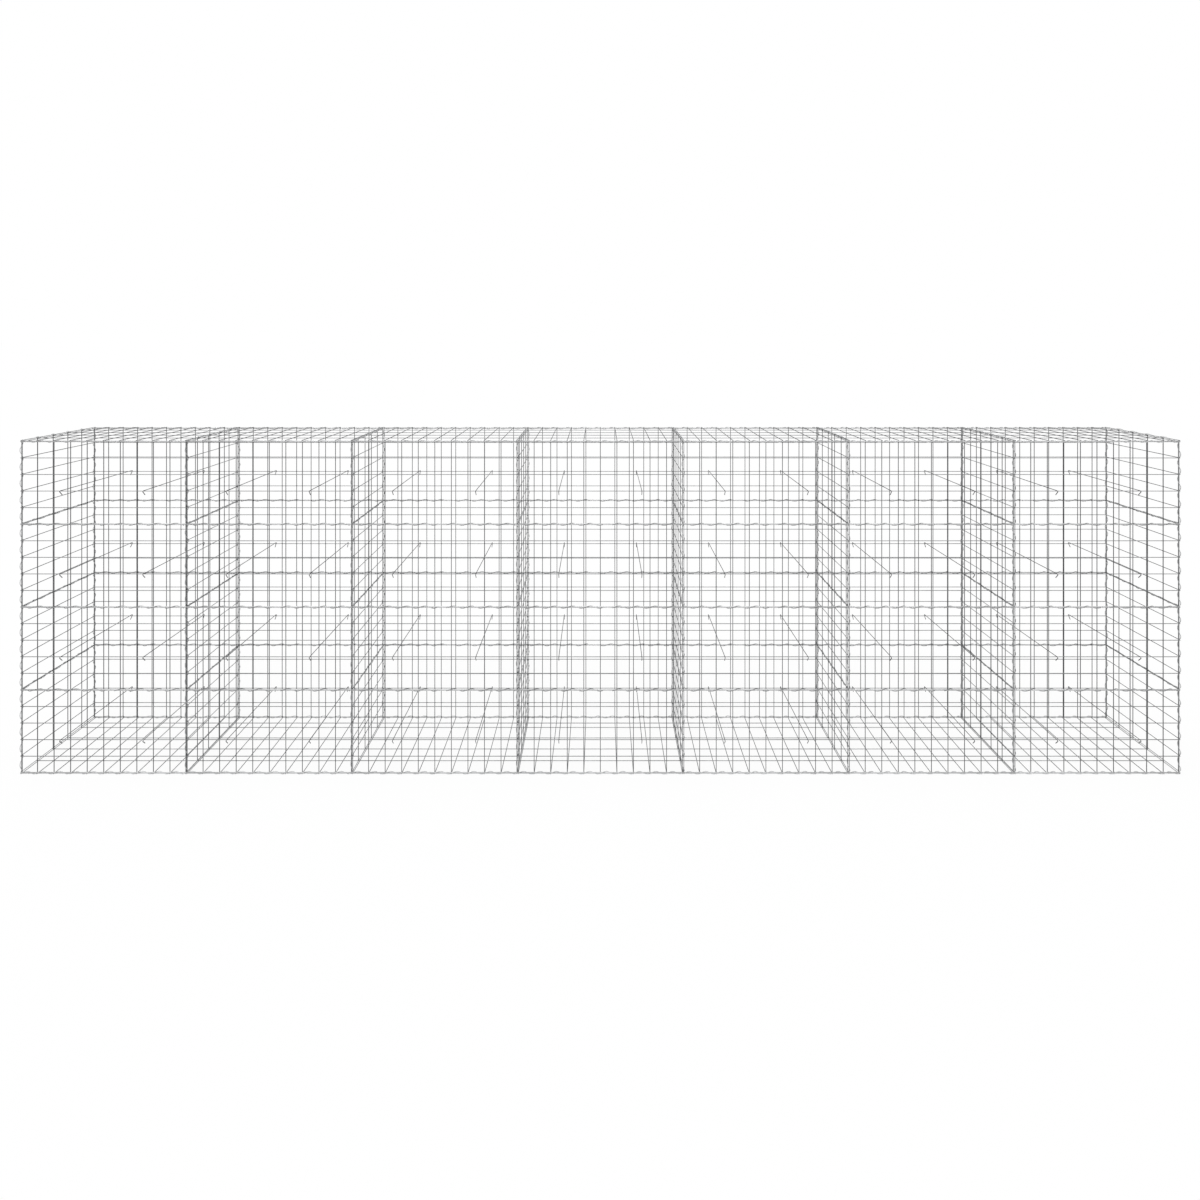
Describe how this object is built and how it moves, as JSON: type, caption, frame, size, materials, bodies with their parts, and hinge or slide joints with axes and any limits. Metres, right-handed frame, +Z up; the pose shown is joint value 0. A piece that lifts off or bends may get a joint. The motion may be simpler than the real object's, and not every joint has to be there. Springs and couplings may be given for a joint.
{
  "type": "gabion wall",
  "caption": "Empty gabion wall: a long row of stacked welded wire cages, laced shut, with dividing walls, lids and cross ties.",
  "frame": {"origin": "on the ground under the middle of the wall", "axes": "+X along the wall, +Y from the front to the back, +Z up"},
  "size_m": [7.0256, 0.537, 2.0219],
  "materials": {
    "mesh_wire": "dull galvanised wire",
    "spiral_wire": "dull galvanised wire",
    "tie_wire": "dull galvanised wire"
  },
  "bodies": {
    "root": {"back_panels_bay_1": "mesh_wire", "back_panels_bay_2": "mesh_wire", "back_panels_bay_3": "mesh_wire", "back_panels_bay_4": "mesh_wire", "back_panels_bay_5": "mesh_wire", "back_panels_bay_6": "mesh_wire", "back_panels_bay_7": "mesh_wire", "divider_wall_1": "mesh_wire", "divider_wall_2": "mesh_wire", "divider_wall_3": "mesh_wire", "divider_wall_4": "mesh_wire", "divider_wall_5": "mesh_wire", "divider_wall_6": "mesh_wire", "floor_bay_1": "mesh_wire", "floor_bay_2": "mesh_wire", "floor_bay_3": "mesh_wire", "floor_bay_4": "mesh_wire", "floor_bay_5": "mesh_wire", "floor_bay_6": "mesh_wire", "floor_bay_7": "mesh_wire", "front_panels_bay_1": "mesh_wire", "front_panels_bay_2": "mesh_wire", "front_panels_bay_3": "mesh_wire", "front_panels_bay_4": "mesh_wire", "front_panels_bay_5": "mesh_wire", "front_panels_bay_6": "mesh_wire", "front_panels_bay_7": "mesh_wire", "left_end_wall": "mesh_wire", "lid_bay_1": "mesh_wire", "lid_bay_2": "mesh_wire", "lid_bay_3": "mesh_wire", "lid_bay_4": "mesh_wire", "lid_bay_5": "mesh_wire", "lid_bay_6": "mesh_wire", "lid_bay_7": "mesh_wire", "right_end_wall": "mesh_wire", "row_spirals": "spiral_wire", "side_wall_spirals": "spiral_wire", "ties_bay_1": "tie_wire", "ties_bay_2": "tie_wire", "ties_bay_3": "tie_wire", "ties_bay_4": "tie_wire", "ties_bay_5": "tie_wire", "ties_bay_6": "tie_wire", "ties_bay_7": "tie_wire"}
  },
  "joints": []
}
